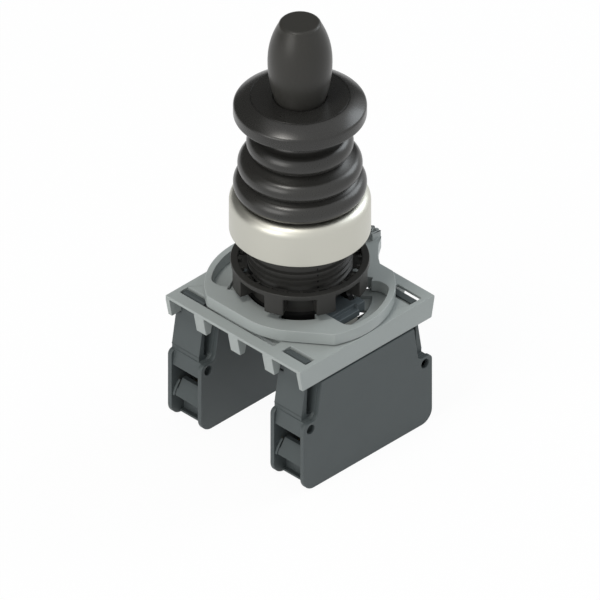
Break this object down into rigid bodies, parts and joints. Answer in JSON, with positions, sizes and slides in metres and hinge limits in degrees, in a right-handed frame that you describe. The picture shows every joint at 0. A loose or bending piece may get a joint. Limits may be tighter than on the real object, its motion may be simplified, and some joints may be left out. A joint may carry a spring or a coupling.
{
  "type": "industrial joystick",
  "caption": "Panel joystick: a sprung lever with a guard disc and rubber bellows in a metal collar, a threaded barrel with a ring nut, and contact blocks on a clip-on adapter.",
  "frame": {"origin": "on the lever's axis, in the plane of the panel's front face, which is the collar's underside", "axes": "+Z along the upright lever, away from the panel; the lever tilts towards +X and -X, and the locking lever's arm stands towards +Y"},
  "size_m": [0.0398, 0.0435, 0.1002],
  "materials": {
    "satin_metal": "satin metal",
    "gasket_rubber": "soft black rubber",
    "black_plastic": "moulded black plastic",
    "bellows_rubber": "soft charcoal rubber with a dull sheen",
    "charcoal_plastic": "satin charcoal plastic",
    "steel": "plated steel",
    "brass": "plain brass",
    "grey_nylon": "moulded grey nylon",
    "white_nylon": "moulded white nylon",
    "light_grey_plastic": "moulded light grey plastic",
    "dark_grey_plastic": "moulded dark grey plastic"
  },
  "bodies": {
    "head": {"bezel_collar": "satin_metal", "panel_gasket": "gasket_rubber", "threaded_barrel": "black_plastic", "bellows_clamp_ring": "black_plastic", "pivot_pin": "steel", "ring_nut": "black_plastic", "base_insert": "black_plastic", "bellows": "bellows_rubber", "pusher_spring_left": "steel", "pusher_spring_right": "steel", "adapter_plate": "light_grey_plastic", "block_housing_left": "dark_grey_plastic", "block_housing_right": "dark_grey_plastic", "block_cover_left": "dark_grey_plastic", "block_cover_right": "dark_grey_plastic", "terminal_shrouds_left": "dark_grey_plastic", "terminal_shrouds_right": "dark_grey_plastic", "contact_strips_left": "brass", "contact_strips_right": "brass", "terminal_screws_left": "steel", "terminal_screws_right": "steel", "wire_clamps_left": "steel", "wire_clamps_right": "steel", "plunger_spring_left": "steel", "plunger_spring_right": "steel"},
    "lever": {"rocker": "steel", "hub_pin": "steel", "lever_shaft": "steel", "spacer_sleeve": "steel", "guard_disc": "charcoal_plastic", "disc_plate": "charcoal_plastic", "knob_insert": "brass", "knob": "charcoal_plastic"},
    "left_pusher": {"pusher_left": "grey_nylon"},
    "right_pusher": {"pusher_right": "grey_nylon"},
    "left_plunger": {"plunger_left": "white_nylon", "contact_bridge_left": "brass", "bridge_spring_left": "steel"},
    "right_plunger": {"plunger_right": "white_nylon", "contact_bridge_right": "brass", "bridge_spring_right": "steel"},
    "locking_ring": {"locking_lever": "light_grey_plastic"}
  },
  "joints": [
    {"name": "lever_tilt", "type": "hinge", "parent": "head", "child": "lever", "pos_m": [0, 0, 0.004], "axis": [0, 1, 0], "range_deg": [-16, 16], "stiffness_Nm_per_rad": 0.6, "deforming": ["bellows"]},
    {"name": "left_pusher_slide", "type": "slide", "parent": "head", "child": "left_pusher", "axis": [0, 0, 1], "range_m": [-0.00177, 0.00177], "deforming": ["pusher_spring_left"]},
    {"name": "right_pusher_slide", "type": "slide", "parent": "head", "child": "right_pusher", "axis": [0, 0, 1], "range_m": [-0.00177, 0.00177], "deforming": ["pusher_spring_right"]},
    {"name": "left_plunger_slide", "type": "slide", "parent": "head", "child": "left_plunger", "axis": [0, 0, 1], "range_m": [-0.00177, 0.00177], "deforming": ["plunger_spring_left"]},
    {"name": "right_plunger_slide", "type": "slide", "parent": "head", "child": "right_plunger", "axis": [0, 0, 1], "range_m": [-0.00177, 0.00177], "deforming": ["plunger_spring_right"]},
    {"name": "locking_turn", "type": "hinge", "parent": "head", "child": "locking_ring", "pos_m": [0, 0, -0.0159], "axis": [0, 0, -1], "range_deg": [0, 30]}
  ],
  "couplings": [
    {"joint": "right_pusher_slide", "follows": "lever_tilt", "m_per_rad": -0.0063172},
    {"joint": "right_plunger_slide", "follows": "lever_tilt", "m_per_rad": -0.0063172},
    {"joint": "left_pusher_slide", "follows": "lever_tilt", "m_per_rad": 0.0063172},
    {"joint": "left_plunger_slide", "follows": "lever_tilt", "m_per_rad": 0.0063172}
  ]
}
